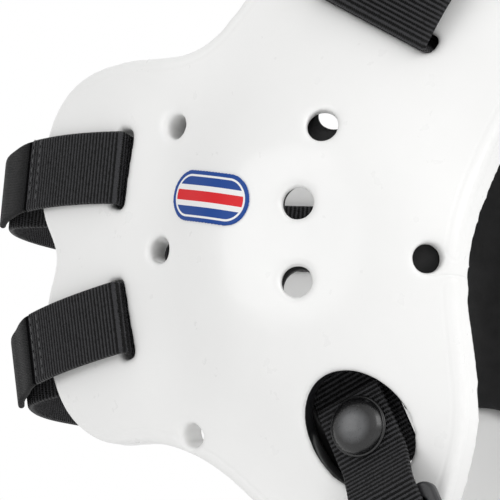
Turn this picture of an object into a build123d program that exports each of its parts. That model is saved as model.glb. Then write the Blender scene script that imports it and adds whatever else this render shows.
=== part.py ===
"""Ear-guard headgear: a coated foam shell of two ear panels joined by a forehead band, with its
liners, adjustable straps, press studs and strap slider.

Units are millimetres. The origin is midway between the wearer's ear canals. +Z is up, +X is the
wearer's left and -Y is forward. The two sides are mirror images, apart from the strap slider and
the doubled chin strap on the right, and the crown strap's overlap.
"""

from math import asin, copysign, cos, hypot, pi, radians, sin, tan
import os

from build123d import *

# ---------------------------------------------------------------- driving dimensions
# The head's form: an oval section that closes towards crown and jaw.
HALF_WIDTH = 82.0
FRONT_REACH = 106.0
REAR_REACH = 125.0
WIDEST_LEVEL = 15.0
CROWN_CLOSING = 0.0036
JAW_CLOSING = 0.0014
WIDTH_SHARE = 0.8
FRONT_EXPONENT = 2.2
REAR_EXPONENT = 2.5
SECTION_LEVELS = range(-100, 101, 20)
SECTION_POINTS = 48

# The shell and its ear domes.
SHELL_THICKNESS = 10.0
DOME_THICKNESS = 5.0
DOME_HEIGHT = 9.0
DOME_FORWARD, DOME_LEVEL = -4.0, -12.0
DOME_REAR_RUN, DOME_FRONT_RUN, DOME_HALF_HEIGHT = 46.0, 62.0, 60.0
DOME_EDGE_SHARE = 0.6
LINER_THICKNESS = 4.0
FIT_GAP = 0.1

# Holes through each ear panel: forward, up, radius and the axis's turn forward from straight out
# sideways in degrees, or None for square to the wall.
EAR_HOLES = ((7.5, 18.5, 4.2, 24), (1.0, -1.2, 4.2, 24), (0.0, -21.2, 4.2, 24))
CHEEK_HOLES = ((35.0, -16.8, 3.9, 42),)
REAR_HOLES = ((-41.0, 23.5, 3.3, None), (-46.0, -9.0, 3.5, 2), (-39.0, -58.0, 3.3, None))
LINER_HOLES = ((10.0, 22.8, 4.6, 24), (1.6, -0.6, 4.6, 24), (0.7, -22.2, 4.6, 24))
HOLE_DEPTH = 24.0

# Straps and the slots they pass through: forward, up and lean in degrees.
STRAP_WIDTH = 19.5
STRAP_THICKNESS = 1.8
SLOT_WIDTH = 4.6
UPPER_SLOT = (-59.3, 14.0, -10.0)
LOWER_SLOT = (-60.2, -26.0, 8.8)
UPPER_RISE = 6.0
LOWER_RISE = -8.0
CROWN_SLOT = (16.5, 48.5, 60.0)
SLOT_LENGTH = STRAP_WIDTH + 1.8
CROWN_WIDTH = 38.0
CROWN_LEAN = 30.0
CROWN_REACH = 80.4
CROWN_HEIGHT = 76.0
CROWN_STEP = 3.8
SEAM_FORWARD = -93.0
TAB_END_FORWARD = -116.0

# The chin strap hangs from two press studs on one axis along X.
STUD_FORWARD, STUD_LEVEL = 11.0, -58.0
CHIN_LEAN = 25.0
CHIN_INSIDE = 74.4
CHIN_HANG = 79.2
CHIN_TOP = 9.0
CHIN_DROP = 90.0
CHIN_CORNER = 38.0
ANCHOR_WIDTH = 19.5
WINDOW_HALF_WIDTH, WINDOW_HALF_HEIGHT = 14.0, 15.0
WINDOW_SHIFT = (0.4, -1.0)
CAP_RADIUS = 7.9
RIVET_RADIUS = 1.5

os.makedirs("parts", exist_ok=True)


# ---------------------------------------------------------------- the head's form
def closing(level):
    """How much shorter the section is at a level than at its widest."""
    rise = level - WIDEST_LEVEL
    rate = CROWN_CLOSING if rise > 0 else JAW_CLOSING
    return rate * rise * rise


def dome(forward, level):
    """Share of the ear dome's height at a place: 1 on its top and 0 off it."""
    run = DOME_REAR_RUN if forward < DOME_FORWARD else DOME_FRONT_RUN
    radius = hypot((forward - DOME_FORWARD) / run, (level - DOME_LEVEL) / DOME_HALF_HEIGHT)
    rise = min(1.0, max(0.0, (1.0 - radius) / DOME_EDGE_SHARE))
    return rise * rise * (3 - 2 * rise)


def wall_point(angle, level, offset, dome_height=0.0):
    """X and Y of the section's point at an angle from +X, moved out by offset and dome."""
    front = sin(angle) >= 0
    width = HALF_WIDTH - WIDTH_SHARE * closing(level)
    reach = (FRONT_REACH if front else REAR_REACH) - closing(level)
    power = FRONT_EXPONENT if front else REAR_EXPONENT
    side = copysign(abs(cos(angle)) ** (2 / power), cos(angle))
    forward = copysign(abs(sin(angle)) ** (2 / power), sin(angle))
    normal_side = copysign(abs(side) ** (power - 1) / width, side)
    normal_forward = copysign(abs(forward) ** (power - 1) / reach, forward)
    out = (offset + dome_height * dome(forward * reach, level)) / hypot(normal_side, normal_forward)
    return side * width + normal_side * out, -(forward * reach + normal_forward * out)


def rear_angle(forward, level):
    """The angle, on the wearer's left, at which the section is this far behind the ears."""
    share = -forward / (REAR_REACH - closing(level))
    return -asin(share ** (REAR_EXPONENT / 2))


def closed_form(offset, dome_height):
    """The solid inside the sections moved out by an offset."""
    turns = [2 * pi * i / SECTION_POINTS for i in range(SECTION_POINTS)]
    with BuildPart() as form:
        for level in SECTION_LEVELS:
            with BuildSketch(Plane.XY.offset(level)):
                with BuildLine():
                    Spline(*[wall_point(t, level, offset, dome_height) for t in turns], periodic=True)
                make_face()
        loft()
    return form.part


def side_plane(x=0.0):
    """The plane seen from the wearer's left, whose local X points backwards."""
    return Plane(origin=(x, 0, 0), x_dir=(0, 1, 0), z_dir=(1, 0, 0))


def backwards(points):
    """Side-view points given as forward and up, as local points of the side plane."""
    return [(-forward, level) for forward, level in points]


# ---------------------------------------------------------------- the shell's side outline
CREST = [(-11.5, 68), (0.5, 77), (16, 84), (40, 88), (75, 89), (100, 88), (130, 86)]
BAND_LOWER_EDGE = [(130, 46), (105, 46), (84, 44.5), (67.5, 38.5), (55.5, 26)]
FACE_EDGE = [(47.5, 10), (42.5, -8), (40, -24), (39.3, -44), (38, -60), (34.5, -71), (31.5, -79)]
JAW_EDGE = [(27, -87), (15, -92.5), (2, -92), (-10, -86), (-23, -75), (-33, -66.5)]
LOWER_LOBE = [(-44, -61), (-56, -58.5), (-68, -58), (-77, -54.5), (-84.5, -48), (-88.8, -40)]
BACK_EDGE = [(-91, -30), (-89, -17), (-85, -6.5), (-89, 2), (-91.5, 12)]
UPPER_LOBE = [(-88.5, 27.5), (-83, 36), (-76, 40.5), (-66, 43), (-50, 43.2), (-38, 43.4)]
NECK = [(-32, 46), (-25.5, 52.5), (-19.3, 60)]
REAR_OUTLINE = FACE_EDGE + JAW_EDGE + LOWER_LOBE + BACK_EDGE + UPPER_LOBE + NECK

outer_form = closed_form(0.0, DOME_HEIGHT)
inner_form = closed_form(-SHELL_THICKNESS, DOME_HEIGHT + SHELL_THICKNESS - DOME_THICKNESS)
liner_outer = closed_form(
    -SHELL_THICKNESS - FIT_GAP, DOME_HEIGHT + SHELL_THICKNESS - DOME_THICKNESS
)
liner_inner = closed_form(
    -SHELL_THICKNESS - FIT_GAP - LINER_THICKNESS, DOME_HEIGHT + SHELL_THICKNESS - DOME_THICKNESS
)

with BuildPart() as side_profile:
    with BuildSketch(side_plane()):
        with BuildLine():
            Spline(*backwards(BAND_LOWER_EDGE + REAR_OUTLINE + CREST))
            Line(backwards(CREST)[-1], backwards(BAND_LOWER_EDGE)[0])
        make_face()
        for forward, level, lean in (UPPER_SLOT, LOWER_SLOT):
            with Locations(Location((-forward, level), 90 - lean)):
                RectangleRounded(SLOT_LENGTH, SLOT_WIDTH, 0.8, mode=Mode.SUBTRACT)
        with Locations(Location((-CROWN_SLOT[0], CROWN_SLOT[1]), 90 - CROWN_SLOT[2])):
            RectangleRounded(CROWN_WIDTH + 1.0, SLOT_WIDTH, 0.8, mode=Mode.SUBTRACT)
        with Locations(Location((-STUD_FORWARD, STUD_LEVEL), -CHIN_LEAN) * Location(WINDOW_SHIFT)):
            Ellipse(WINDOW_HALF_WIDTH, WINDOW_HALF_HEIGHT, mode=Mode.SUBTRACT)
    extrude(amount=HALF_WIDTH * 1.5, both=True)


LINER_OUTLINE = [(-50, 5), (-47, 30), (-32, 39), (-8, 45), (12, 38), (29, 28), (34.5, 12), (35.5, -10)]
LINER_OUTLINE += [(34.5, -26), (33, -45), (31.5, -62), (28, -74), (20, -81), (8, -80), (-2, -72), (-7, -58)]
LINER_OUTLINE += [(-11, -45), (-20, -38.5), (-32, -37.5), (-45, -33), (-50, -18)]
STUD_RECESS_LENGTH, STUD_RECESS_MIDDLE, STUD_RECESS_WIDTH = 41.0, 8.5, 21.4
FOREHEAD_LINER = [(62, 52), (130, 52), (130, 81), (62, 81)]


def wall_axis(forward, level, side, turn):
    """A plane on the outer wall at a side-view place. Its Z points straight out, or a turn forward."""
    low, high = -pi / 2, pi / 2
    for _ in range(40):
        middle = (low + high) / 2
        if -wall_point(middle, level, 0.0, DOME_HEIGHT)[1] < forward:
            low = middle
        else:
            high = middle
    step = 0.01
    here = Vector(*wall_point(middle, level, 0.0, DOME_HEIGHT), level)
    along = Vector(*wall_point(middle - step, level, 0.0, DOME_HEIGHT), level) - here
    above = Vector(*wall_point(middle, level + 1, 0.0, DOME_HEIGHT), level + 1) - here
    out = along.cross(above)
    if turn is not None:
        out = Vector(cos(radians(turn)), -sin(radians(turn)), 0)
    return Plane(origin=(side * here.X, here.Y, level), z_dir=(side * out.X, out.Y, out.Z))


def hole_tools(holes):
    """Each round hole's space, on both sides."""
    with BuildPart() as tools:
        for forward, level, radius, turn in holes:
            for side in (-1, 1):
                with Locations(wall_axis(forward, level, side, turn)):
                    Cylinder(radius, 2 * HOLE_DEPTH)
    return tools.part


with BuildPart() as shell:
    add(outer_form)
    add(inner_form, mode=Mode.SUBTRACT)
    add(side_profile.part, mode=Mode.INTERSECT)
    add(hole_tools(EAR_HOLES + CHEEK_HOLES + REAR_HOLES), mode=Mode.SUBTRACT)


def keep(part, label):
    """Names a finished piece and writes it to its own file."""
    part.label = label
    export_step(part, f"parts/{label}.step")


keep(shell.part, "shell")


# ---------------------------------------------------------------- liners
def leaning_plane(forward, level, lean):
    """A plane along X through a place; its local Y leans forward from straight up."""
    tilt = radians(lean)
    return Plane(origin=(0, -forward, level), x_dir=(1, 0, 0), z_dir=(0, -cos(tilt), -sin(tilt)))


CHIN_PLANE = leaning_plane(STUD_FORWARD, STUD_LEVEL, -CHIN_LEAN)


def side_solid(outline, start, end):
    """A side-view outline as a prism from one X to another."""
    with BuildPart() as prism:
        with BuildSketch(side_plane(start)):
            with BuildLine():
                Spline(*backwards(outline), periodic=True)
            make_face()
        extrude(amount=end - start)
    return prism.part


for side, label in ((-1, "liner_right"), (1, "liner_left")):
    with BuildPart() as liner:
        add(liner_outer)
        add(liner_inner, mode=Mode.SUBTRACT)
        add(side_solid(LINER_OUTLINE, side * 20, side * 120), mode=Mode.INTERSECT)
        add(hole_tools(LINER_HOLES), mode=Mode.SUBTRACT)
        with BuildSketch(CHIN_PLANE):
            with Locations((side * HALF_WIDTH, STUD_RECESS_MIDDLE)):
                Rectangle(HALF_WIDTH, STUD_RECESS_LENGTH)
        extrude(amount=STUD_RECESS_WIDTH / 2, both=True, mode=Mode.SUBTRACT)
    keep(liner.part, label)

with BuildPart() as liner_forehead:
    with BuildSketch(side_plane()):
        with BuildLine():
            Polyline(*backwards(FOREHEAD_LINER), close=True)
        make_face()
        fillet(vertices(), 8)
    extrude(amount=HALF_WIDTH, both=True)
    add(liner_outer, mode=Mode.INTERSECT)
    add(liner_inner, mode=Mode.SUBTRACT)
keep(liner_forehead.part, "liner_forehead")


# ---------------------------------------------------------------- badges
BADGE_PLACE = (-26.5, 2.3)
BADGE_LENGTH, BADGE_HEIGHT, BADGE_THICKNESS = 28.0, 13.5, 0.4
BADGE_LEAN = 12.0
badge_outer = closed_form(BADGE_THICKNESS, DOME_HEIGHT)

for side, label in ((-1, "badge_right"), (1, "badge_left")):
    with BuildPart() as badge:
        with BuildSketch(side_plane(side * 60)):
            with Locations(Location((-BADGE_PLACE[0], BADGE_PLACE[1]), BADGE_LEAN)):
                SlotOverall(BADGE_LENGTH, BADGE_HEIGHT)
        extrude(amount=side * 60)
        add(badge_outer, mode=Mode.INTERSECT)
        add(outer_form, mode=Mode.SUBTRACT)
    keep(badge.part, label)


# ---------------------------------------------------------------- back straps
def smooth_step(value, low, high):
    """0 below low, 1 above high and an even curve between."""
    share = min(1.0, max(0.0, (value - low) / (high - low)))
    return share * share * (3 - 2 * share)


def strap_plane(slot, rise):
    """The plane of a back strap's centre line, which rises backwards from its slot."""
    tilt = radians(rise)
    return Plane(origin=(0, -slot[0], slot[1]), x_dir=(1, 0, 0), z_dir=(0, -sin(tilt), cos(tilt)))


def strap_point(angle, slot, rise, offset):
    """A point of a strap in its own plane, at an offset from the plain oval."""
    back = wall_point(angle, slot[1], 0.0)[1]
    level = slot[1] + (back + slot[0]) * tan(radians(rise))
    x, y = wall_point(angle, level, offset)
    return x, (y + slot[0]) / cos(radians(rise))


def strap_run(start, end, slot, rise, inside, outside, step_back, count=14):
    """Points from one angle to another; the offset passes from inside to outside past step_back."""
    points = []
    for i in range(count + 1):
        angle = start + (end - start) * i / count
        past = smooth_step(wall_point(angle, slot[1], 0.0)[1], step_back, step_back + 14)
        points.append(strap_point(angle, slot, rise, inside + (outside - inside) * past))
    return points


LOBE_BACK = 93.0
STRAP_STEP_BACK = 101.0
WEB_SLANT = 3.2
REAR_OFFSET = -3.0
WEB_FRONT, WEB_BACK = -58.4, -58.4 - STRAP_THICKNESS
BACK_STRAPS = (("upper", UPPER_SLOT, UPPER_RISE, 0.8), ("lower", LOWER_SLOT, LOWER_RISE, 2.0))

for name, slot, rise, clearance in BACK_STRAPS:
    # The strap itself: out through each slot, inside each lobe and around the back of the head.
    front_angle, back_angle = (rear_angle(f, slot[1]) for f in (WEB_FRONT, WEB_BACK))
    wall_side = -SHELL_THICKNESS - clearance
    head_side = wall_side - STRAP_THICKNESS
    wall_start, head_start = (rear_angle(f - WEB_SLANT, slot[1]) for f in (WEB_BACK, WEB_FRONT))
    rear = REAR_OFFSET + STRAP_THICKNESS
    ends = (wall_start, -pi - wall_start, slot, rise, wall_side, rear, STRAP_STEP_BACK, 40)
    near_wall = strap_run(*ends)
    ends = (head_start, -pi - head_start, slot, rise, head_side, REAR_OFFSET, STRAP_STEP_BACK, 40)
    near_head = strap_run(*ends)
    mouths = [strap_point(a, slot, rise, 0.0) for a in (back_angle, front_angle)]
    with BuildPart() as back_strap:
        with BuildSketch(strap_plane(slot, rise)):
            with BuildLine():
                Spline(*near_wall)
                Spline(*near_head)
                for (x, y), wall_end, head_end in (
                    (mouths[0], near_wall[0], near_head[0]),
                    ((-mouths[0][0], mouths[0][1]), near_wall[-1], near_head[-1]),
                ):
                    front = (copysign(mouths[1][0], x), mouths[1][1])
                    Polyline(wall_end, (x, y), front, head_end)
            make_face()
        extrude(amount=STRAP_WIDTH / 2, both=True)
    keep(back_strap.part, f"back_strap_{name}")

    # The end turned back over the outside of each lobe, and the hook tab sewn to it.
    start = rear_angle(WEB_FRONT + 0.5, slot[1])
    seam = rear_angle(SEAM_FORWARD, slot[1])
    finish = rear_angle(TAB_END_FORWARD, slot[1])
    tail_inside, tail_rear = clearance, REAR_OFFSET + STRAP_THICKNESS + 0.7
    for label, first, last in ((f"{name}_strap_tail", start, seam), (f"{name}_hook_tab", seam, finish)):
        offsets = (tail_inside, tail_rear)
        lower_line = strap_run(first, last, slot, rise, *offsets, LOBE_BACK)
        offsets = (tail_inside + STRAP_THICKNESS, tail_rear + STRAP_THICKNESS)
        upper_line = strap_run(first, last, slot, rise, *offsets, LOBE_BACK)
        for side, side_name in ((-1, "right"), (1, "left")):
            inner = [(side * x, y) for x, y in lower_line]
            outer = [(side * x, y) for x, y in upper_line]
            with BuildPart() as piece:
                with BuildSketch(strap_plane(slot, rise)):
                    with BuildLine():
                        Spline(*inner)
                        Spline(*outer)
                        Line(inner[0], outer[0])
                        Line(inner[-1], outer[-1])
                    make_face()
                extrude(amount=STRAP_WIDTH / 2, both=True)
            keep(piece.part, f"{label}_{side_name}")


# ---------------------------------------------------------------- crown strap
CROWN_PLANE = leaning_plane(CROWN_SLOT[0], CROWN_SLOT[1], CROWN_LEAN)
CROWN_FLAP = [(64.4, 0), (60.0, 20)]
CROWN_OVERLAP = 22.0
CROWN_TAB_ANGLE = 17.0


def crown_arc(reach, height, first, last):
    """An oval arc over the head, between two angles."""
    return EllipticalCenterArc((0, 0), reach, height, start_angle=first, arc_size=last - first)


def crown_piece(label, height, first, last, flap_side):
    """A piece of the crown strap, with the flap through its slot if it has one."""
    with BuildPart() as piece:
        with BuildSketch(CROWN_PLANE):
            with BuildLine():
                low = crown_arc(CROWN_REACH, height, first, last)
                high = crown_arc(CROWN_REACH + STRAP_THICKNESS, height + STRAP_THICKNESS, first, last)
                Line(low @ 0, high @ 0)
                Line(low @ 1, high @ 1)
            make_face()
            if flap_side:
                flap = [(flap_side * (CROWN_REACH + STRAP_THICKNESS), 0)]
                flap += [(flap_side * x, v) for x, v in CROWN_FLAP]
                flap += [(flap_side * (x - STRAP_THICKNESS), v) for x, v in reversed(CROWN_FLAP)]
                flap[-1] = (flap[-1][0], -STRAP_THICKNESS)
                flap += [(flap_side * (CROWN_REACH + STRAP_THICKNESS), -STRAP_THICKNESS)]
                with BuildLine():
                    Polyline(*flap, close=True)
                make_face()
        extrude(amount=CROWN_WIDTH / 2, both=True)
    keep(piece.part, label)


crown_piece("crown_strap_right", CROWN_HEIGHT, 90 - CROWN_OVERLAP, 180, -1)
crown_piece("crown_strap_left", CROWN_HEIGHT + CROWN_STEP, 0, 90 + CROWN_OVERLAP, 1)
crown_piece(
    "crown_hook_tab",
    CROWN_HEIGHT + CROWN_STEP,
    90 + CROWN_OVERLAP + 0.3,
    90 + CROWN_OVERLAP + CROWN_TAB_ANGLE,
    0,
)


# ---------------------------------------------------------------- chin strap
def chin_ribbon(label, points, width, radius, hole_sides, hole_radius):
    """A strap along a route in the chin strap's plane, with a rivet hole at each stud."""
    with BuildPart() as ribbon:
        with BuildSketch(CHIN_PLANE):
            with BuildLine():
                if radius:
                    FilletPolyline(*points, radius=radius)
                else:
                    Polyline(*points)
                offset(amount=STRAP_THICKNESS, side=Side.LEFT)
            make_face()
        extrude(amount=width / 2, both=True)
        for side in hole_sides:
            with BuildSketch(side_plane(side * 60)):
                with Locations((-STUD_FORWARD, STUD_LEVEL)):
                    Circle(hole_radius)
            extrude(amount=side * 60, mode=Mode.SUBTRACT)
    keep(ribbon.part, label)


HOLE_CLEARANCE = 0.1
LIP_BEND = 6.0
chin_side = [(CHIN_INSIDE, CHIN_TOP), (CHIN_INSIDE, -9.8), (CHIN_HANG, -19.5), (CHIN_HANG, -CHIN_DROP)]
chin_route = chin_side + [(-x, v) for x, v in reversed(chin_side)]
chin_bends = [LIP_BEND, LIP_BEND, CHIN_CORNER, CHIN_CORNER, LIP_BEND, LIP_BEND]
rivet_hole = RIVET_RADIUS + HOLE_CLEARANCE
chin_ribbon("chin_strap", chin_route, STRAP_WIDTH, chin_bends, (-1, 1), rivet_hole)


# The end folded back under the strap on the right, through the slider.
SLIDER_THICKNESS = 2.6
SLIDER_GAP = 0.3
SLIDER_FACE = CHIN_HANG - SLIDER_GAP
FOLD_INSIDE = SLIDER_FACE - SLIDER_THICKNESS - SLIDER_GAP - STRAP_THICKNESS
chin_ribbon("chin_strap_fold", [(-FOLD_INSIDE, -54), (-FOLD_INSIDE, -21)], STRAP_WIDTH, 0, (), 0)

# Webbing tabs inside the windows, which carry the fixed half of each press stud.
ANCHOR_INSIDE = 69.8
anchor_route = [(ANCHOR_INSIDE, -10.5), (ANCHOR_INSIDE, 9), (76.6, 27)]
for side, label in ((-1, "chin_anchor_right"), (1, "chin_anchor_left")):
    points = [(side * x, v) for x, v in anchor_route]
    if side > 0:
        points.reverse()
    chin_ribbon(label, points, ANCHOR_WIDTH, 0, (side,), rivet_hole)


# ---------------------------------------------------------------- press studs
TAB_OUTSIDE = ANCHOR_INSIDE + STRAP_THICKNESS
POST_RADIUS = 2.1
CAP_SEAT = CHIN_INSIDE + STRAP_THICKNESS
STUD_PROFILES = {
    "stud_rivet": [
        (0, ANCHOR_INSIDE - 1.0),
        (5.0, ANCHOR_INSIDE - 1.0),
        (5.0, ANCHOR_INSIDE),
        (RIVET_RADIUS, ANCHOR_INSIDE),
        (RIVET_RADIUS, TAB_OUTSIDE),
        (0, TAB_OUTSIDE),
    ],
    "stud_post": [
        (0, TAB_OUTSIDE),
        (5.2, TAB_OUTSIDE),
        (5.2, TAB_OUTSIDE + 0.7),
        (POST_RADIUS, TAB_OUTSIDE + 1.0),
        (POST_RADIUS, TAB_OUTSIDE + 2.4),
        (0, TAB_OUTSIDE + 2.6),
    ],
    "snap_socket": [
        (POST_RADIUS + 0.15, TAB_OUTSIDE + 1.2),
        (5.6, TAB_OUTSIDE + 1.2),
        (5.6, CHIN_INSIDE),
        (POST_RADIUS + 0.15, CHIN_INSIDE),
    ],
    "snap_cap": [
        (0, CHIN_INSIDE),
        (RIVET_RADIUS, CHIN_INSIDE),
        (RIVET_RADIUS, CAP_SEAT),
        (CAP_RADIUS, CAP_SEAT),
        (CAP_RADIUS, CAP_SEAT + 0.8),
        (CAP_RADIUS - 0.8, CAP_SEAT + 1.1),
        (CAP_RADIUS - 2.2, CAP_SEAT + 2.9),
        (CAP_RADIUS - 4.6, CAP_SEAT + 3.6),
        (0, CAP_SEAT + 3.8),
    ],
}
for name, profile in STUD_PROFILES.items():
    for side, side_name in ((-1, "right"), (1, "left")):
        stud_plane = Plane(
            origin=(0, -STUD_FORWARD, STUD_LEVEL), x_dir=(0, 1, 0), z_dir=(0, 0, side)
        )
        with BuildPart() as turned:
            with BuildSketch(stud_plane):
                with BuildLine():
                    Polyline(*[(r, -x) for r, x in profile], close=True)
                make_face()
            revolve(axis=Axis((0, -STUD_FORWARD, STUD_LEVEL), (1, 0, 0)))
        keep(turned.part, f"{name}_{side_name}")


# ---------------------------------------------------------------- strap slider
SLIDER_CENTRE = -31.3
SLIDER_LENGTH, SLIDER_RAIL, SLIDER_BAR = 20.0, 2.8, 3.4
STRAP_WAY = STRAP_WIDTH + 1.0
with BuildPart() as strap_slider:
    face = Plane(
        origin=CHIN_PLANE.from_local_coords((-SLIDER_FACE, SLIDER_CENTRE, 0)),
        x_dir=CHIN_PLANE.z_dir,
        z_dir=(1, 0, 0),
    )
    with BuildSketch(face):
        RectangleRounded(STRAP_WAY + 2 * SLIDER_RAIL, SLIDER_LENGTH, 3.5)
        with GridLocations(0, (SLIDER_LENGTH - SLIDER_BAR) / 2, 1, 2):
            gap = (SLIDER_LENGTH - 3 * SLIDER_BAR) / 2
            SlotOverall(STRAP_WAY, gap, mode=Mode.SUBTRACT)
    extrude(amount=SLIDER_THICKNESS)
    edges = strap_slider.faces().sort_by(Axis.X)[0].outer_wire().edges()
    chamfer(edges, 0.5)
keep(strap_slider.part, "strap_slider")
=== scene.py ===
"""Ear-guard headgear: skins, foam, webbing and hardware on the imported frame, with light and camera.

Lengths in the webbing routes are millimetres in the part's own frame; meshes are in metres.
"""

from math import asin, ceil, copysign, cos, hypot, pi, radians, sin, tan

import bmesh
import bpy
from mathutils import Matrix, Vector
from mathutils.kdtree import KDTree


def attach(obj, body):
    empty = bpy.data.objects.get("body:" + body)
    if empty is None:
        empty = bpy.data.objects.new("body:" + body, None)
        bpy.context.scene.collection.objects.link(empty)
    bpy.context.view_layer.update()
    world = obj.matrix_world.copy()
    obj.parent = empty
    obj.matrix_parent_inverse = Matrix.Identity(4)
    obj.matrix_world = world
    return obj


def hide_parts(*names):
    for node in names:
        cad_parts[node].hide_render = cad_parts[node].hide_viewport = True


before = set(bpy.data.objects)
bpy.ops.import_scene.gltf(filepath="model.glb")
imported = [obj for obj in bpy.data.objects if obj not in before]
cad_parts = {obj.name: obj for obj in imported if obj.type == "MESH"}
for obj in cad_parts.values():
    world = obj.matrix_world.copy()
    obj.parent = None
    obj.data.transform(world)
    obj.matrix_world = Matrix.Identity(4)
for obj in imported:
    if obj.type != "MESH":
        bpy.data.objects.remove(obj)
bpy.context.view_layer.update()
MM = 0.001

# ---------------------------------------------------------------- the head's form, as in the part
HALF_WIDTH, FRONT_REACH, REAR_REACH = 82.0, 106.0, 125.0
WIDEST_LEVEL, CROWN_CLOSING, JAW_CLOSING, WIDTH_SHARE = 15.0, 0.0036, 0.0014, 0.8
FRONT_EXPONENT, REAR_EXPONENT = 2.2, 2.5
SHELL_THICKNESS = 10.0
DOME_HEIGHT, DOME_EDGE_SHARE = 9.0, 0.6
DOME_FORWARD, DOME_LEVEL = -4.0, -12.0
DOME_REAR_RUN, DOME_FRONT_RUN, DOME_HALF_HEIGHT = 46.0, 62.0, 60.0
STRAP_WIDTH, STRAP_THICKNESS = 19.5, 1.8
HALF_STRAP = STRAP_THICKNESS / 2
UPPER_SLOT, UPPER_RISE = (-59.3, 14.0), 6.0
LOWER_SLOT, LOWER_RISE = (-60.2, -26.0), -8.0
EAR_HOLES = ((7.5, 18.5), (1.0, -1.2), (0.0, -21.2))
PANEL_HOLES = EAR_HOLES + ((35.0, -16.8), (-41.0, 23.5), (-46.0, -9.0), (-39.0, -58.0))
CROWN_SLOT, STUD_PLACE = (16.5, 48.5), (11.0, -58.0)
CROWN_LEAN, CHIN_LEAN = 30.0, 25.0
WINDOW_HALF_WIDTH, WINDOW_HALF_HEIGHT, WINDOW_BACK, WINDOW_DOWN = 14.0, 15.0, 0.4, 1.0
BADGE_BACK, BADGE_LEVEL, BADGE_LEAN = 26.5, 2.3, 12.0


def closing(level):
    """How much shorter the section is at a level than at its widest."""
    rise = level - WIDEST_LEVEL
    return (CROWN_CLOSING if rise > 0 else JAW_CLOSING) * rise * rise


def wall_point(angle, level, offset):
    """X and Y of the head form's section at an angle from +X, moved out by an offset."""
    front = sin(angle) >= 0
    width = HALF_WIDTH - WIDTH_SHARE * closing(level)
    reach = (FRONT_REACH if front else REAR_REACH) - closing(level)
    power = FRONT_EXPONENT if front else REAR_EXPONENT
    side = copysign(abs(cos(angle)) ** (2 / power), cos(angle))
    forward = copysign(abs(sin(angle)) ** (2 / power), sin(angle))
    normal_side = copysign(abs(side) ** (power - 1) / width, side)
    normal_forward = copysign(abs(forward) ** (power - 1) / reach, forward)
    out = offset / hypot(normal_side, normal_forward)
    return side * width + normal_side * out, -(forward * reach + normal_forward * out)


def rear_angle(forward, level):
    """The angle, on the wearer's left, at which the section is this far behind the ears."""
    share = -forward / (REAR_REACH - closing(level))
    return -asin(share ** (REAR_EXPONENT / 2))


def smooth_step(value, low, high):
    """0 below low, 1 above high and an even curve between."""
    share = min(1.0, max(0.0, (value - low) / (high - low)))
    return share * share * (3 - 2 * share)


# ---------------------------------------------------------------- materials
def material(name, colour, roughness, **sockets):
    """A new principled material; other sockets are set by name."""
    mat = bpy.data.materials.new(name)
    mat.use_nodes = True
    shader = mat.node_tree.nodes["Principled BSDF"]
    shader.inputs["Base Color"].default_value = (*colour, 1)
    shader.inputs["Roughness"].default_value = roughness
    for socket, value in sockets.items():
        shader.inputs[socket.replace("_", " ")].default_value = value
    return mat


def node(mat, kind, settings=None, **links):
    """Adds a node; links maps an input's name or number to a socket or a value."""
    new = mat.node_tree.nodes.new(kind)
    for key, value in (settings or {}).items():
        setattr(new, key, value)
    for key, value in links.items():
        socket = new.inputs[int(key[1:])] if key[0] == "i" and key[1:].isdigit() else new.inputs[key]
        if isinstance(value, bpy.types.NodeSocket):
            mat.node_tree.links.new(value, socket)
        else:
            socket.default_value = value
    return new


def math_node(mat, operation, first, second=0.0, third=0.0):
    """The output of one math node."""
    return node(mat, "ShaderNodeMath", {"operation": operation}, i0=first, i1=second, i2=third).outputs[0]


def connect(mat, output, socket):
    """Links an output to one of the shader's sockets."""
    mat.node_tree.links.new(output, mat.node_tree.nodes["Principled BSDF"].inputs[socket])


def place(mat):
    """Each point's place in the row frame, in metres."""
    return node(mat, "ShaderNodeTexCoord").outputs["Object"]


def noise(mat, coordinates, size, detail=2.0):
    """A noise whose grains are this many metres across."""
    new = node(mat, "ShaderNodeTexNoise", Vector=coordinates, Scale=1.0 / size, Detail=detail)
    return new.outputs["Fac"]


def spread(mat, factor, low, high):
    """Maps a 0-1 noise, mostly near its middle, to a range."""
    return node(mat, "ShaderNodeMapRange", i0=factor, i1=0.3, i2=0.7, i3=low, i4=high).outputs[0]


def bump(mat, *layers):
    """A stack of (height, strength, depth in metres) bumps onto the shader's normal."""
    normal = None
    for height, strength, depth in layers:
        links = {"Height": height, "Strength": strength, "Distance": depth}
        if normal:
            links["Normal"] = normal
        normal = node(mat, "ShaderNodeBump", **links).outputs[0]
    connect(mat, normal, "Normal")


def tint(mat, factor, low, high):
    """Base colour between two colours by a factor."""
    ramp = node(mat, "ShaderNodeValToRGB", Fac=factor)
    ramp.color_ramp.elements[0].position = 0.3
    ramp.color_ramp.elements[0].color = (*low, 1)
    ramp.color_ramp.elements[1].position = 0.7
    ramp.color_ramp.elements[1].color = (*high, 1)
    connect(mat, ramp.outputs[0], "Base Color")


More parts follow.
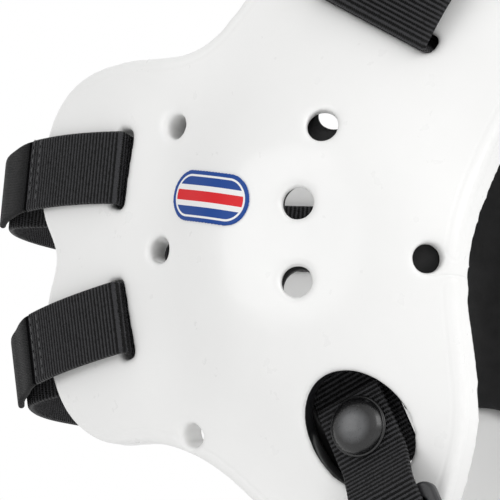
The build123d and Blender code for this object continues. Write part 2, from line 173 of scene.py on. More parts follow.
def make_vinyl():
    """Glossy white dipped vinyl with a fine orange peel, faint scuffs and a crease along its rim; the chin
    strap window's wall is painted near black below the skin as painted shade.
    """
    mat = material("dipped_vinyl", (0.88, 0.88, 0.87), 0.3, Coat_Weight=0.35, Coat_Roughness=0.16)
    spot = place(mat)
    white = node(mat, "ShaderNodeValToRGB", Fac=noise(mat, spot, 0.03))
    for element, position, grey in zip(white.color_ramp.elements, (0.3, 0.7), (0.885, 0.905)):
        element.position = position
        element.color = (grey, grey, grey * 0.99, 1)
    # Painted shade: the chin strap window's wall is painted near black where it lies below the white skin.
    inside = node(mat, "ShaderNodeAttribute", {"attribute_name": "window_painted_shade"}).outputs["Fac"]
    mask = node(mat, "ShaderNodeMapRange", {"interpolation_type": "SMOOTHSTEP"},
                i0=inside, i1=-0.1, i2=0.1, i3=0.0, i4=1.0).outputs[0]
    mix = node(mat, "ShaderNodeMix", {"data_type": "RGBA"}, i0=mask, i7=(0.01, 0.01, 0.011, 1))
    mat.node_tree.links.new(white.outputs[0], mix.inputs[6])
    connect(mat, mix.outputs[2], "Base Color")
    connect(mat, spread(mat, noise(mat, spot, 0.006, 4.0), 0.27, 0.36), "Roughness")
    edge = node(mat, "ShaderNodeAttribute", {"attribute_name": "rim_distance"}).outputs["Fac"]
    away = math_node(mat, "ABSOLUTE", math_node(mat, "SUBTRACT", edge, CREASE_DISTANCE))
    crease = node(mat, "ShaderNodeMapRange", {"interpolation_type": "SMOOTHSTEP"},
                  i0=away, i1=0.0, i2=CREASE_SPREAD, i3=0.0, i4=1.0).outputs[0]
    parts = node(mat, "ShaderNodeSeparateXYZ", i0=spot)
    off_seam = math_node(mat, "ABSOLUTE", math_node(mat, "SUBTRACT", parts.outputs[2], SEAM_LEVEL))
    behind = math_node(mat, "ADD", parts.outputs[1], SEAM_FORWARD_END)
    seam = node(mat, "ShaderNodeMapRange", {"interpolation_type": "SMOOTHSTEP"},
                i0=math_node(mat, "MAXIMUM", off_seam, behind), i1=0.0, i2=0.0004, i3=0.0, i4=1.0).outputs[0]
    bump(mat, (crease, 0.35, 0.0002), (seam, 0.5, 0.0002), (noise(mat, spot, 0.0022, 1.0), 0.08, 0.0001),
         (noise(mat, spot, 0.012, 1.0), 0.1, 0.0004))
    return mat


def make_foam():
    """Satin black closed-cell foam with fine pores."""
    mat = material("liner_foam", (0.009, 0.009, 0.010), 0.5, Specular_IOR_Level=0.3)
    spot = place(mat)
    tint(mat, noise(mat, spot, 0.004), (0.006, 0.006, 0.0065), (0.012, 0.012, 0.0125))
    cells = node(mat, "ShaderNodeTexVoronoi", Vector=spot, Scale=1500.0).outputs["Distance"]
    bump(mat, (cells, 0.25, 0.0001), (noise(mat, spot, 0.004), 0.3, 0.0003))
    connect(mat, spread(mat, noise(mat, spot, 0.002), 0.45, 0.65), "Roughness")
    return mat


def make_webbing(name, low, high, yarn, strength, groove_shade, specular):
    """Woven nylon: yarns run along the strap and step from rib to rib, with painted shade darkening the
    grooves between ribs. The UV map is in centimetres.
    """
    mat = material(name, high, 0.5, Specular_IOR_Level=specular)
    uv = node(mat, "ShaderNodeUVMap", {"uv_map": "UVMap"}).outputs[0]
    parts = node(mat, "ShaderNodeSeparateXYZ", i0=uv)
    across = math_node(mat, "MULTIPLY", parts.outputs[0], 20 * pi / yarn)
    rib = math_node(mat, "FLOOR", math_node(mat, "MULTIPLY", parts.outputs[1], 10 / RIB_PITCH))
    weave = math_node(mat, "SINE", math_node(mat, "MULTIPLY_ADD", rib, pi, across))
    along = math_node(mat, "MULTIPLY", parts.outputs[1], 20 * pi / RIB_PITCH)
    twist = math_node(mat, "SINE", math_node(mat, "MULTIPLY_ADD", across, 0.5, along))
    spot = place(mat)
    grain = noise(mat, spot, 0.0004, 3.0)
    # Painted shade: the base colour darkens in the grooves between ribs, following the ribs' phase along the
    # strap.
    phase = math_node(mat, "COSINE", along)
    rib_shading = math_node(mat, "MULTIPLY_ADD", phase, 0.5 * groove_shade, 0.5)
    flecks = spread(mat, noise(mat, spot, 0.0009, 3.0), 0.55, 1.25)
    tint(mat, math_node(mat, "MULTIPLY", rib_shading, flecks), low, high)
    connect(mat, spread(mat, grain, 0.4, 0.6), "Roughness")
    bump(mat, (weave, strength, 0.00008), (twist, strength * 0.4, 0.00006), (grain, 0.5, 0.00012))
    return mat


def make_thread():
    """Twisted black sewing thread."""
    mat = material("thread", (0.03, 0.03, 0.032), 0.45, Sheen_Weight=0.2)
    spot = place(mat)
    tint(mat, noise(mat, spot, 0.0008), (0.02, 0.02, 0.022), (0.045, 0.045, 0.048))
    bump(mat, (noise(mat, spot, 0.0003), 0.4, 0.00008))
    return mat


def make_metal():
    """Nickel plate with fine rubbing."""
    mat = material("nickel_plate", (0.6, 0.6, 0.58), 0.25, Metallic=1.0)
    spot = place(mat)
    connect(mat, spread(mat, noise(mat, spot, 0.001, 4.0), 0.18, 0.36), "Roughness")
    bump(mat, (noise(mat, spot, 0.0006, 3.0), 0.08, 0.00005))
    return mat


def make_enamel():
    """Semi-gloss dark enamel over a pressed cap, with a painted highlight: paler towards its middle."""
    mat = material("dark_enamel", (0.03, 0.031, 0.033), 0.3, Coat_Weight=0.4, Coat_Roughness=0.18)
    spot = place(mat)
    parts = node(mat, "ShaderNodeSeparateXYZ", i0=spot)
    # Painted highlight: the colour grows paler towards the cap's middle, by distance from the stud's axis.
    ahead = math_node(mat, "ADD", parts.outputs[1], STUD_PLACE[0] * MM)
    above = math_node(mat, "SUBTRACT", parts.outputs[2], STUD_PLACE[1] * MM)
    reach = math_node(mat, "SQRT", math_node(mat, "ADD", math_node(mat, "MULTIPLY", ahead, ahead),
                                             math_node(mat, "MULTIPLY", above, above)))
    middle = node(mat, "ShaderNodeMapRange", {"interpolation_type": "SMOOTHSTEP"},
                  i0=reach, i1=0.0005, i2=0.0075, i3=1.0, i4=0.0).outputs[0]
    wear = math_node(mat, "MULTIPLY_ADD", noise(mat, spot, 0.0015, 4.0), 0.16, -0.08)
    tint(mat, math_node(mat, "ADD", middle, wear), (0.006, 0.006, 0.0065), (0.085, 0.087, 0.09))
    connect(mat, spread(mat, noise(mat, spot, 0.0007, 3.0), 0.24, 0.4), "Roughness")
    bump(mat, (noise(mat, spot, 0.0008, 2.0), 0.1, 0.00005))
    return mat


def make_moulded():
    """Moulded black plastic with a fine satin texture."""
    mat = material("moulded_plastic", (0.022, 0.022, 0.024), 0.36)
    spot = place(mat)
    tint(mat, noise(mat, spot, 0.002, 3.0), (0.018, 0.018, 0.020), (0.028, 0.028, 0.030))
    connect(mat, spread(mat, noise(mat, spot, 0.0006, 2.0), 0.3, 0.46), "Roughness")
    bump(mat, (noise(mat, spot, 0.0004, 2.0), 0.15, 0.00006))
    return mat


def make_badge():
    """Printed film: a capsule outline round plain stripes. The UV map is in centimetres."""
    mat = material("badge_print", (0.9, 0.9, 0.9), 0.4, Specular_IOR_Level=0.3)
    uv = node(mat, "ShaderNodeUVMap", {"uv_map": "UVMap"}).outputs[0]
    parts = node(mat, "ShaderNodeSeparateXYZ", i0=uv)
    ends = math_node(mat, "MAXIMUM", math_node(mat, "SUBTRACT", math_node(mat, "ABSOLUTE", parts.outputs[0]),
                                               (BADGE_LENGTH - BADGE_HEIGHT) / 20), 0.0)
    up = parts.outputs[1]
    reach = math_node(mat, "SQRT", math_node(mat, "ADD", math_node(mat, "MULTIPLY", ends, ends),
                                             math_node(mat, "MULTIPLY", up, up)))
    ring = node(mat, "ShaderNodeValToRGB", Fac=reach)
    ring.color_ramp.interpolation = "CONSTANT"
    field = ring.color_ramp.elements
    field[0].color = (0, 0, 0, 1)
    field[1].position, field[1].color = BADGE_FIELD_RADIUS, (1, 1, 1, 1)
    band = node(mat, "ShaderNodeValToRGB", Fac=math_node(mat, "ADD", up, 0.5))
    band.color_ramp.interpolation = "CONSTANT"
    stripes = band.color_ramp.elements
    stripes[0].position, stripes[0].color = 0.0, BLUE
    stripes[1].position, stripes[1].color = 0.22, PALE
    for position, colour in ((0.36, RED), (0.64, PALE), (0.78, BLUE)):
        stripes.new(position).color = colour
    outline = node(mat, "ShaderNodeValToRGB", Fac=reach)
    outline.color_ramp.interpolation = "CONSTANT"
    rings = outline.color_ramp.elements
    rings[0].color = PALE
    rings[1].position, rings[1].color = BADGE_LINE_RADIUS, BLUE
    mix = node(mat, "ShaderNodeMix", {"data_type": "RGBA"})
    mat.node_tree.links.new(ring.outputs[0], mix.inputs[0])
    mat.node_tree.links.new(band.outputs[0], mix.inputs[6])
    mat.node_tree.links.new(outline.outputs[0], mix.inputs[7])
    connect(mat, mix.outputs[2], "Base Color")
    bump(mat, (noise(mat, place(mat), 0.002, 1.0), 0.1, 0.0001))
    return mat


CREASE_DISTANCE, CREASE_SPREAD = 3.0, 0.9
SEAM_LEVEL, SEAM_FORWARD_END = -21.2 * MM, 34.5 * MM
RIB_PITCH = 1.23
BADGE_LENGTH, BADGE_HEIGHT = 28.0, 13.5
BADGE_FIELD_RADIUS, BADGE_LINE_RADIUS = 0.505, 0.56
BLUE, RED, PALE = (0.003, 0.055, 0.29, 1), (0.72, 0.008, 0.015, 1), (0.88, 0.88, 0.88, 1)
VINYL, FOAM = make_vinyl(), make_foam()
# The second-last number sets how much painted shade darkens the grooves between ribs.
WEBBING = make_webbing("webbing", (0.001, 0.001, 0.0012), (0.038, 0.038, 0.041), 0.62, 0.8, 1.0, 0.22)
TAPE = make_webbing("hook_tape", (0.001, 0.001, 0.0012), (0.008, 0.008, 0.009), 0.45, 0.8, 0.8, 0.03)
THREAD, METAL, ENAMEL = make_thread(), make_metal(), make_enamel()
MOULDED, BADGE = make_moulded(), make_badge()


# ---------------------------------------------------------------- soft copies of CAD nodes
def new_object(name, mesh, mat, body, slot, *nodes):
    """An object of a mesh, with its material, body and the CAD nodes it stands for; the slot is not used."""
    mesh.materials.clear()
    mesh.materials.append(mat)
    for polygon in mesh.polygons:
        polygon.use_smooth = True
    obj = bpy.data.objects.new(name, mesh)
    bpy.context.scene.collection.objects.link(obj)
    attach(obj, body)
    if nodes:
        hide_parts(*nodes)
    return obj


def soft_mesh(name, source, voxel, rounds):
    """A CAD node's mesh remeshed evenly, its edges rounded by a few smoothing passes."""
    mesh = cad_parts[source].data.copy()
    obj = bpy.data.objects.new(name, mesh)
    bpy.context.scene.collection.objects.link(obj)
    welded = bmesh.new()
    welded.from_mesh(mesh)
    bmesh.ops.remove_doubles(welded, verts=welded.verts, dist=1e-6)
    welded.to_mesh(mesh)
    welded.free()
    remesh = obj.modifiers.new("remesh", "REMESH")
    remesh.mode = "VOXEL"
    remesh.voxel_size = voxel
    soften = obj.modifiers.new("soften", "SMOOTH")
    soften.factor = 0.5
    soften.iterations = rounds
    graph = bpy.context.evaluated_depsgraph_get()
    result = bpy.data.meshes.new_from_object(obj.evaluated_get(graph))
    bpy.data.objects.remove(obj)
    result.name = name
    return result


SHARP_EDGE, RIM_DEPTH, RIM_STEP = 0.7, 2.0, 0.5
HOLE_REACH, SLOT_REACH, CROWN_REACH_OUT, WINDOW_REACH = 7.5, 14.0, 23.0, 19.0


def rim_distances(mesh, source):
    """Stores on each vertex its distance from the shell's outer cut edge, in millimetres."""
    cad = bmesh.new()
    cad.from_mesh(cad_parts[source].data)
    bmesh.ops.remove_doubles(cad, verts=cad.verts, dist=1e-6)
    openings = [(*hole, HOLE_REACH) for hole in PANEL_HOLES]
    openings += [(*slot, SLOT_REACH) for slot in (UPPER_SLOT, LOWER_SLOT)]
    openings += [(*CROWN_SLOT, CROWN_REACH_OUT), (*STUD_PLACE, WINDOW_REACH)]
    rim = []
    for edge in cad.edges:
        if len(edge.link_faces) != 2 or edge.calc_face_angle(0.0) < SHARP_EDGE:
            continue
        start, end = (v.co / MM for v in edge.verts)
        if outer_distance((start + end) / 2) > RIM_DEPTH:
            continue
        if any(hypot(-start.y - f, start.z - z) < r for f, z, r in openings):
            continue
        count = ceil((end - start).length / RIM_STEP)
        rim += [start.lerp(end, i / count) for i in range(count + 1)]
    cad.free()
    tree = KDTree(len(rim))
    for i, co in enumerate(rim):
        tree.insert(co, i)
    tree.balance()
    layer = mesh.attributes.new("rim_distance", "FLOAT", "POINT")
    layer.data.foreach_set("value", [tree.find(v.co / MM)[2] for v in mesh.vertices])


# Depth below the skin, in millimetres, where the window wall's painted shade begins.
WINDOW_MARGIN, SHADE_DEPTH = 1.22, 1.4


def window_shade_paint(mesh):
    """Stores where a chin strap window's wall is painted near black as painted shade: above 0 below its white
    skin.
    """
    lean = radians(CHIN_LEAN)
    values = []
    for vertex, depth in zip(mesh.vertices, mesh.attributes["skin_depth"].data):
        forward, up = -vertex.co.y / MM - STUD_PLACE[0], vertex.co.z / MM - STUD_PLACE[1]
        along, across = up * cos(lean) - forward * sin(lean), forward * cos(lean) + up * sin(lean)
        near = hypot((across + WINDOW_BACK) / WINDOW_HALF_WIDTH,
                     (along + WINDOW_DOWN) / WINDOW_HALF_HEIGHT) < WINDOW_MARGIN
        values.append(min(1.0, max(-1.0, depth.value - SHADE_DEPTH)) if near else -1.0)
    layer = mesh.attributes.new("window_painted_shade", "FLOAT", "POINT")
    layer.data.foreach_set("value", values)


def skin_depths(mesh):
    """Stores on each vertex how far it lies inside the head form's outer surface, in millimetres."""
    layer = mesh.attributes.new("skin_depth", "FLOAT", "POINT")
    outside = [outer_distance(v.co / MM) for v in mesh.vertices]
    layer.data.foreach_set("value", outside)


def outer_distance(co):
    """About how far a point, in millimetres, lies inside the shell's outer surface."""
    width = HALF_WIDTH - WIDTH_SHARE * closing(co.z)
    reach = (FRONT_REACH if co.y < 0 else REAR_REACH) - closing(co.z)
    power = FRONT_EXPONENT if co.y < 0 else REAR_EXPONENT
    side = width * max(0.0, 1.0 - (abs(co.y) / reach) ** power) ** (1 / power)
    return side + DOME_HEIGHT * dome(-co.y, co.z) - abs(co.x)


def dome(forward, level):
    """Share of the ear dome's height at a place."""
    run = DOME_REAR_RUN if forward < DOME_FORWARD else DOME_FRONT_RUN
    radius = hypot((forward - DOME_FORWARD) / run, (level - DOME_LEVEL) / DOME_HALF_HEIGHT)
    rise = min(1.0, max(0.0, (1.0 - radius) / DOME_EDGE_SHARE))
    return rise * rise * (3 - 2 * rise)


SKIN_VOXEL, SKIN_ROUNDS = 0.7 * MM, 28
FOAM_VOXEL, FOAM_ROUNDS = 0.9 * MM, 4
shell_mesh = soft_mesh("shell_skin", "shell", SKIN_VOXEL, SKIN_ROUNDS)
rim_distances(shell_mesh, "shell")
skin_depths(shell_mesh)
window_shade_paint(shell_mesh)
shell_skin = new_object("shell_skin", shell_mesh, VINYL, "shell", "coated_foam", "shell")
for side in ("right", "left", "forehead"):
    pad_mesh = soft_mesh(f"liner_pad_{side}", f"liner_{side}", FOAM_VOXEL, FOAM_ROUNDS)
    pad = new_object(f"liner_pad_{side}", pad_mesh, FOAM, "shell", "liner_foam", f"liner_{side}")


# ---------------------------------------------------------------- webbing
def rounded(points, radius):
    """A route's points with each corner turned on an arc of about the given radius."""
    result = [Vector(points[0])]
    for before, corner, after in zip(points, points[1:], points[2:]):
        before, corner, after = Vector(before), Vector(corner), Vector(after)
        into, out = (before - corner).normalized(), (after - corner).normalized()
        half = into.angle(out) / 2
        if abs(half - pi / 2) < 0.02:
            result.append(corner)
            continue
        cut = min(radius / tan(half), (before - corner).length * 0.49, (after - corner).length * 0.49)
        turn = pi - 2 * half
        steps = max(3, ceil(turn / 0.12))
        first, last = corner + into * cut, corner + out * cut
        for i in range(steps + 1):
            t = i / steps
            result.append(first.lerp(corner, t).lerp(corner.lerp(last, t), t))
    result.append(Vector(points[-1]))
    return result


def evenly(points, step):
    """The route at even steps, with the length gone at each."""
    lengths = [0.0]
    for a, b in zip(points, points[1:]):
        lengths.append(lengths[-1] + (b - a).length)
    count = max(2, round(lengths[-1] / step))
    result, j = [], 0
    for i in range(count + 1):
        want = lengths[-1] * i / count
        while j < len(points) - 2 and lengths[j + 1] < want:
            j += 1
        span = lengths[j + 1] - lengths[j]
        share = (want - lengths[j]) / span if span else 0.0
        result.append((want, points[j].lerp(points[j + 1], share)))
    return result


class Plane2D:
    """A plane that a strap's route lies in: origin, two directions and the width's direction."""

    def __init__(self, origin, u, v):
        self.origin, self.u, self.v = Vector(origin), Vector(u), Vector(v)
        self.w = self.u.cross(self.v)

    def point(self, u, v, w=0.0):
        """A row-frame point, in metres, from millimetres in the plane."""
        return (self.origin + self.u * u + self.v * v + self.w * w) * MM


PROFILE = ((-1.0, 0.0), (-0.985, 0.55), (-0.95, 0.92), (-0.9, 1.0), (-0.45, 1.0), (0.0, 1.0),
           (0.45, 1.0), (0.9, 1.0), (0.95, 0.92), (0.985, 0.55), (1.0, 0.0))


def strip(name, plane, route, width, mat, body, slot, nodes, rib_depth=0.5, thickness=STRAP_THICKNESS,
          radius=2.2, end_round=0.0, sway=None):
    """A woven strip along a route in its plane, with ribs across it and a beaded edge."""
    per_rib = 6 if rib_depth else 1.5
    stations = evenly(rounded(route, radius), RIB_PITCH / per_rib)
    ring = [(w, n) for w, n in PROFILE] + [(w, -n) for w, n in PROFILE[-2:0:-1]]
    build = bmesh.new()
    uv_layer = build.loops.layers.uv.new("UVMap")
    rings, uvs = [], {}
    total = stations[-1][0]
    for i, (gone, spot) in enumerate(stations):
        ahead = stations[min(i + 1, len(stations) - 1)][1]
        behind = stations[max(i - 1, 0)][1]
        along = (ahead - behind).normalized()
        normal = Vector((-along.y, along.x))
        hollow = rib_depth * (0.5 - 0.5 * cos(2 * pi * gone / RIB_PITCH)) ** 2
        from_end = min(gone, total - gone)
        taper = 0.35 + 0.65 * min(1.0, from_end / 0.5)
        half_width = width / 2
        if end_round and total - gone < end_round:
            rest = end_round - (total - gone)
            half_width -= end_round - (max(0.0, end_round ** 2 - rest ** 2)) ** 0.5
        shift = sway(gone / total) if sway else 0.0
        verts = []
        for w, n in ring:
            flat = 1.0 - min(1.0, max(0.0, (abs(w) - 0.86) / 0.09))
            thick = (thickness / 2 - hollow * (0.45 + 0.55 * flat)) * n * taper
            place_2d = spot + normal * thick
            vert = build.verts.new(plane.point(place_2d.x, place_2d.y, w * half_width + shift))
            uvs[vert] = (w * half_width / 10, gone / 10)
            verts.append(vert)
        rings.append(verts)
    for first, second in zip(rings, rings[1:]):
        for j in range(len(ring)):
            k = (j + 1) % len(ring)
            build.faces.new((first[j], first[k], second[k], second[j]))
    build.faces.new(rings[0][::-1])
    build.faces.new(rings[-1])
    for face in build.faces:
        for loop in face.loops:
            loop[uv_layer].uv = uvs[loop.vert]
    bmesh.ops.recalc_face_normals(build, faces=build.faces)
    mesh = bpy.data.meshes.new(name)
    build.to_mesh(mesh)
    build.free()
    return new_object(name, mesh, mat, body, slot, *nodes)


def stitches(name, seams, body):
    """Rows of thread stitches. Each seam is a pair of row-frame points and the surface's normal."""
    build = bmesh.new()
    for start, end, normal in seams:
        start, end, normal = Vector(start), Vector(end), Vector(normal).normalized()
        run = end - start
        count = max(1, round(run.length / (2.6 * MM)))
        along = run.normalized()
        side = normal.cross(along)
        turn = Matrix((along, side, normal)).transposed().to_4x4()
        for i in range(count):
            middle = start + run * ((i + 0.5) / count)
            move = Matrix.Translation(middle) @ turn @ Matrix.Diagonal((1.0 * MM, 0.27 * MM, 0.24 * MM, 1))
            bmesh.ops.create_uvsphere(build, u_segments=8, v_segments=6, radius=1.0, matrix=move)
    mesh = bpy.data.meshes.new(name)
    build.to_mesh(mesh)
    build.free()
    return new_object(name, mesh, THREAD, body, "webbing")


def strap_plane(slot, rise):
    """A back strap's plane, which rises backwards from its slot."""
    tilt = radians(rise)
    return Plane2D((0, -slot[0], slot[1]), (1, 0, 0), (0, cos(tilt), sin(tilt)))


def strap_point(angle, slot, rise, offset):
    """A point of a back strap in its own plane, at an offset from the head form's section."""
    back = wall_point(angle, slot[1], 0.0)[1]
    level = slot[1] + (back + slot[0]) * tan(radians(rise))
    x, y = wall_point(angle, level, offset)
    return x, (y + slot[0]) / cos(radians(rise))


def strap_run(start, end, slot, rise, inside, outside, step_back, count):
    """Points from one angle to another; the offset passes from inside to outside past step_back."""
    points = []
    for i in range(count + 1):
        angle = start + (end - start) * i / count
        past = smooth_step(wall_point(angle, slot[1], 0.0)[1], step_back, step_back + 14)
        points.append(strap_point(angle, slot, rise, inside + (outside - inside) * past))
    return points


REAR_OFFSET, WEB_SLANT, STRAP_STEP_BACK, LOBE_BACK = -3.0, 3.2, 101.0, 93.0
WEB_FRONT, WEB_MIDDLE = -58.4, -59.3
SEAM_FORWARD, TAB_END_FORWARD = -93.0, -116.0

# Each back strap's name, slot, rise, gap to the lobe and how far its middle hangs below its solid's.
BACK_STRAPS = (("upper", UPPER_SLOT, UPPER_RISE, 0.8, 5.0), ("lower", LOWER_SLOT, LOWER_RISE, 2.0, 1.0))

for strap, slot, rise, clearance, droop in BACK_STRAPS:
    plane = strap_plane(slot, rise)
    inside = -SHELL_THICKNESS - clearance - HALF_STRAP
    start = rear_angle(WEB_MIDDLE - WEB_SLANT, slot[1])
    run = strap_run(start, -pi - start, slot, rise, inside, REAR_OFFSET + HALF_STRAP, STRAP_STEP_BACK, 60)
    mouth = strap_point(rear_angle(WEB_MIDDLE, slot[1]), slot, rise, 0.2)
    corner = (run[0][0], mouth[1])
    route = [mouth, corner] + run[1:-1] + [(-corner[0], corner[1]), (-mouth[0], mouth[1])]
    strip(f"back_webbing_{strap}", plane, route, STRAP_WIDTH, WEBBING, "shell", "webbing",
          [f"back_strap_{strap}"], radius=2.0,
          sway=lambda t, drop=droop: -drop * max(0.0, sin(pi * t)) ** 0.8)
    seam = rear_angle(SEAM_FORWARD, slot[1])
    first = rear_angle(WEB_FRONT - 2.0, slot[1])
    finish = rear_angle(TAB_END_FORWARD, slot[1])
    offsets = (clearance + HALF_STRAP, REAR_OFFSET + STRAP_THICKNESS + 0.7 + HALF_STRAP)
    tail = strap_run(first, seam, slot, rise, *offsets, LOBE_BACK, 24)
    tab = strap_run(seam, finish, slot, rise, *offsets, LOBE_BACK, 16)
    bend = strap_point(rear_angle(WEB_MIDDLE + 0.6, slot[1]), slot, rise, 0.4)
    bend_top = strap_point(rear_angle(WEB_MIDDLE + 0.6, slot[1]), slot, rise, offsets[0])
    for sign, side in ((-1, "right"), (1, "left")):
        body = f"{strap}_tail_{side}"
        path = [(sign * x, y) for x, y in [bend, bend_top] + tail]
        strip(f"tail_webbing_{strap}_{side}", plane, path, STRAP_WIDTH, WEBBING, body, "webbing",
              [f"{strap}_strap_tail_{side}"], radius=1.2, sway=lambda t, drop=droop: -0.3 * drop * t * t)
        path = [(sign * x, y) for x, y in tab]
        strip(f"hook_tape_{strap}_{side}", plane, path, STRAP_WIDTH - 0.3, TAPE, body, "hook_tape",
              [f"{strap}_hook_tab_{side}"], rib_depth=0.0, end_round=3.0,
              sway=lambda t, drop=droop: -drop * (0.3 + 0.45 * t + 0.15 * t * t))
        seams = []
        for back in (1.6, 4.6):
            angle = rear_angle(SEAM_FORWARD + back, slot[1])
            x, y = strap_point(angle, slot, rise, offsets[0] + HALF_STRAP + 0.02)
            inner = strap_point(angle, slot, rise, offsets[0])
            normal = plane.point(sign * x, y) - plane.point(sign * inner[0], inner[1])
            seams.append((plane.point(sign * x, y, -8.6), plane.point(sign * x, y, 8.6), normal))
        stitches(f"tail_stitches_{strap}_{side}", seams, body)


# ---------------------------------------------------------------- crown strap
def leaning(forward, level, lean):
    """A plane along X through a place, whose second direction leans forward from straight up."""
    tilt = radians(lean)
    return Plane2D((0, -forward, level), (1, 0, 0), (0, -sin(tilt), cos(tilt)))


CROWN_WIDTH, CROWN_REACH, CROWN_HEIGHT, CROWN_STEP = 39.2, 80.4, 76.0, 3.8
CROWN_OVERLAP, CROWN_TAB_ANGLE, CROWN_FOOT_DROP = 22.0, 17.0, 1.0
crown_plane = leaning(*CROWN_SLOT, CROWN_LEAN)


def crown_arc(height, first, last, count):
    """Middle points of the crown strap's oval, between two angles."""
    angles = [radians(first + (last - first) * i / count) for i in range(count + 1)]
    return [((CROWN_REACH + HALF_STRAP) * cos(a), (height + HALF_STRAP) * sin(a)) for a in angles]


crown_flap = [(59.1, 20.0), (63.5, -HALF_STRAP)]
right_arc = crown_arc(CROWN_HEIGHT, 176, 90 - CROWN_OVERLAP, 40)
left_arc = crown_arc(CROWN_HEIGHT + CROWN_STEP, 4, 90 + CROWN_OVERLAP, 40)
foot = (CROWN_REACH + HALF_STRAP, -HALF_STRAP - CROWN_FOOT_DROP)
strip("crown_webbing_right", crown_plane, [(-x, v) for x, v in crown_flap + [foot]] + right_arc, CROWN_WIDTH,
      WEBBING, "shell", "webbing", ["crown_strap_right"])
strip("crown_webbing_left", crown_plane, crown_flap + [foot] + left_arc, CROWN_WIDTH,
      WEBBING, "shell", "webbing", ["crown_strap_left"])
tab_arc = crown_arc(CROWN_HEIGHT + CROWN_STEP, 90.3 + CROWN_OVERLAP, 90 + CROWN_OVERLAP + CROWN_TAB_ANGLE, 16)
strip("crown_tape", crown_plane, tab_arc, CROWN_WIDTH - 0.4, TAPE, "crown_tab", "hook_tape",
      ["crown_hook_tab"], rib_depth=0.0, end_round=4.0)
crown_seams = []
for back in (1.0, 3.2):
    (x, v), (x_in, v_in) = (crown_arc(CROWN_HEIGHT + CROWN_STEP + rise, 90 + CROWN_OVERLAP - back, 120, 1)[0]
                            for rise in (HALF_STRAP + 0.02, 0.0))
    normal = crown_plane.point(x, v) - crown_plane.point(x_in, v_in)
    crown_seams.append((crown_plane.point(x, v, -17.6), crown_plane.point(x, v, 17.6), normal))
stitches("crown_stitches", crown_seams, "shell")

# ---------------------------------------------------------------- chin strap
chin_plane = leaning(*STUD_PLACE, -CHIN_LEAN)
CHIN_MIDDLE, CHIN_OUT, CHIN_LOW, CHIN_CORNER = 75.3, 80.1, -90.9, 38.9
corner_arc = [(CHIN_OUT - CHIN_CORNER * (1 - cos(-a)), CHIN_LOW + CHIN_CORNER * (1 + sin(-a)))
              for a in [radians(9 * i) for i in range(11)]]
chin_side = [(CHIN_MIDDLE, 9.0), (CHIN_MIDDLE, -9.8), (CHIN_OUT, -19.5)] + corner_arc
chin_route = chin_side + [(-x, v) for x, v in reversed(chin_side)]
strip("chin_webbing", chin_plane, chin_route, STRAP_WIDTH, WEBBING, "chin", "webbing",
      ["chin_strap"], radius=6.5)
FOLD_MIDDLE = -75.1
strip("chin_fold_webbing", chin_plane, [(FOLD_MIDDLE, -54.0), (FOLD_MIDDLE, -21.0)], STRAP_WIDTH, WEBBING,
      "chin", "webbing", ["chin_strap_fold"])
# The anchor webbing is 3 mm wider and 2.5 mm longer than its solid, to close the gap beside the strap.
ANCHOR_MIDDLE, ANCHOR_WIDTH = 70.7, 22.5
for sign, side in ((-1, "right"), (1, "left")):
    anchor = [(sign * ANCHOR_MIDDLE, -13.0), (sign * ANCHOR_MIDDLE, 9.0), (sign * 77.4, 26.6)]
    strip(f"anchor_webbing_{side}", chin_plane, anchor, ANCHOR_WIDTH, WEBBING, "shell", "webbing",
          [f"chin_anchor_{side}"])


# ---------------------------------------------------------------- hardware
def smooth_profile(points, steps=5):
    """Catmull-Rom points through a profile."""
    result = []
    for i in range(len(points) - 1):
        a, b, c, d = (Vector(points[min(max(j, 0), len(points) - 1)]) for j in (i - 1, i, i + 1, i + 2))
        for s in range(steps):
            t = s / steps
            result.append(0.5 * (2 * b + (c - a) * t + (2 * a - 5 * b + 4 * c - d) * t * t
                                 + (3 * b - a - 3 * c + d) * t ** 3))
    result.append(Vector(points[-1]))
    return result


def lathe(name, profile, sign, mat, body, slot, nodes, turns=64):
    """A turned piece on the press studs' axis. The profile is (radius, distance along X)."""
    build = bmesh.new()
    axis_place = Vector((0, -STUD_PLACE[0], STUD_PLACE[1]))
    rings = []
    for radius, out in profile:
        ring = []
        for i in range(turns):
            a = 2 * pi * i / turns
            spot = axis_place + Vector((sign * out, radius * cos(a), radius * sin(a)))
            ring.append(build.verts.new(spot * MM))
        rings.append(ring)
    for first, second in zip(rings, rings[1:]):
        for i in range(turns):
            j = (i + 1) % turns
            build.faces.new((first[i], first[j], second[j], second[i]))
    bmesh.ops.remove_doubles(build, verts=build.verts, dist=1e-7)
    bmesh.ops.recalc_face_normals(build, faces=build.faces)
    mesh = bpy.data.meshes.new(name)
    build.to_mesh(mesh)
    build.free()
    return new_object(name, mesh, mat, body, slot, *nodes)


CAP_SEAT = 76.2
cap_dome = smooth_profile([(7.35, CAP_SEAT + 1.0), (7.1, CAP_SEAT + 1.6), (6.3, CAP_SEAT + 2.5),
                           (5.0, CAP_SEAT + 3.3), (3.3, CAP_SEAT + 3.9), (1.6, CAP_SEAT + 4.2),
                           (0.0, CAP_SEAT + 4.3)])
cap_flange = smooth_profile([(7.0, CAP_SEAT + 0.05), (7.7, CAP_SEAT + 0.2), (7.9, CAP_SEAT + 0.45),
                             (7.8, CAP_SEAT + 0.7), (7.6, CAP_SEAT + 0.8), (7.45, CAP_SEAT + 0.85)])
cap_profile = [Vector((0.0, CAP_SEAT + 0.05))] + cap_flange + cap_dome
socket_profile = [(2.25, 73.0), (5.3, 73.0), (5.6, 73.3), (5.6, 74.1), (5.3, 74.35), (2.25, 74.35),
                  (2.25, 73.0)]
post_profile = [(0, 71.65), (5.0, 71.65), (5.2, 71.85), (5.2, 72.15), (4.9, 72.3), (2.4, 72.5), (2.1, 72.8),
                (1.9, 73.2), (2.1, 73.7), (2.0, 74.0), (1.5, 74.2), (0, 74.2)]
rivet_profile = [(0, 68.85), (3.6, 68.9), (4.7, 69.1), (5.0, 69.45), (4.9, 69.75), (0, 69.75)]
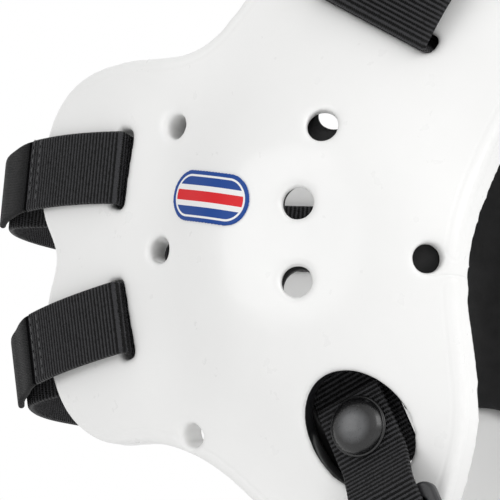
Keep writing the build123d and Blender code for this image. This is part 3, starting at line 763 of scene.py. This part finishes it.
for sign, side in ((-1, "right"), (1, "left")):
    lathe(f"cap_{side}", cap_profile, sign, ENAMEL, "chin", "black_enamel", [f"snap_cap_{side}"])
    lathe(f"socket_{side}", socket_profile, sign, METAL, "chin", "plated_metal", [f"snap_socket_{side}"])
    lathe(f"post_{side}", post_profile, sign, METAL, "shell", "plated_metal", [f"stud_post_{side}"])
    lathe(f"rivet_{side}", rivet_profile, sign, METAL, "shell", "plated_metal", [f"stud_rivet_{side}"])
new_object("slider_moulding", soft_mesh("slider_moulding", "strap_slider", 0.3 * MM, 5), MOULDED, "slider",
           "slider_plastic", "strap_slider")


# ---------------------------------------------------------------- badges
FILM_VOXEL = 0.25 * MM


def badge_print(side):
    """The badge's film, remeshed evenly, with a flat map in centimetres along its length and height."""
    mesh = soft_mesh(f"badge_film_{side}", f"badge_{side}", FILM_VOXEL, 1)
    layer = mesh.uv_layers.new(name="UVMap")
    lean = radians(BADGE_LEAN)
    for polygon in mesh.polygons:
        for index in polygon.loop_indices:
            co = mesh.vertices[mesh.loops[index].vertex_index].co / MM
            back, up = co.y - BADGE_BACK, co.z - BADGE_LEVEL
            along, above = back * cos(lean) + up * sin(lean), up * cos(lean) - back * sin(lean)
            layer.data[index].uv = (along / 10, above / 10)
    return new_object(f"badge_film_{side}", mesh, BADGE, "shell", "badge_print", f"badge_{side}")


for side in ("right", "left"):
    badge_print(side)


# ---------------------------------------------------------------- stage, light and camera
floor_mesh = bpy.data.meshes.new("floor")
floor_mesh.from_pydata([(-6, -6, -0.6), (6, -6, -0.6), (6, 6, -0.6), (-6, 6, -0.6)], [], [(0, 1, 2, 3)])
floor_mesh.materials.append(material("floor_paint", (0.85, 0.85, 0.85), 0.6))
floor = bpy.data.objects.new("floor", floor_mesh)
bpy.context.scene.collection.objects.link(floor)

world = bpy.data.worlds.new("studio")
bpy.context.scene.world = world
world.use_nodes = True
sky = world.node_tree.nodes["Background"]
sky.inputs["Color"].default_value = (1, 1, 1, 1)
toward = world.node_tree.nodes.new("ShaderNodeVectorMath")
toward.operation = "DOT_PRODUCT"
toward.inputs[1].default_value = Vector((-0.55, 0.62, 0.56)).normalized()
fall = world.node_tree.nodes.new("ShaderNodeMapRange")
for index, value in enumerate((0.15, 0.95, 1.0, 0.62), start=1):
    fall.inputs[index].default_value = value
direction = world.node_tree.nodes.new("ShaderNodeTexCoord")
world.node_tree.links.new(direction.outputs["Generated"], toward.inputs[0])
world.node_tree.links.new(toward.outputs["Value"], fall.inputs[0])
world.node_tree.links.new(fall.outputs[0], sky.inputs["Strength"])


def softbox(name, spot, aim, size, power):
    """A square area light at a place, aimed at another."""
    light = bpy.data.lights.new(name, "AREA")
    light.shape = "SQUARE"
    light.size = size
    light.energy = power
    obj = bpy.data.objects.new(name, light)
    obj.location = spot
    obj.rotation_euler = (Vector(aim) - Vector(spot)).to_track_quat("-Z", "Y").to_euler()
    bpy.context.scene.collection.objects.link(obj)


softbox("front_softbox", (-0.6, -1.5, 0.5), (0, 0, 0), 0.9, 7.0)
softbox("ridge_softbox", (-1.35, 0.72, 0.2), (0, 0, 0), 0.8, 3.0)

camera = bpy.data.cameras.new("camera")
camera.sensor_width = 36.0
camera.lens = 308.9
camera.clip_start = 0.05
eye = bpy.data.objects.new("camera", camera)
axes = Matrix(((0.469, -0.883, 0.0), (-0.123, -0.065, 0.990), (-0.874, -0.465, -0.139))).transposed()
eye.matrix_world = Matrix.Translation((-1.0542, -0.4992, -0.1658)) @ axes.to_quaternion().to_matrix().to_4x4()
bpy.context.scene.collection.objects.link(eye)
bpy.context.scene.camera = eye
bpy.context.scene.view_settings.view_transform = "Standard"
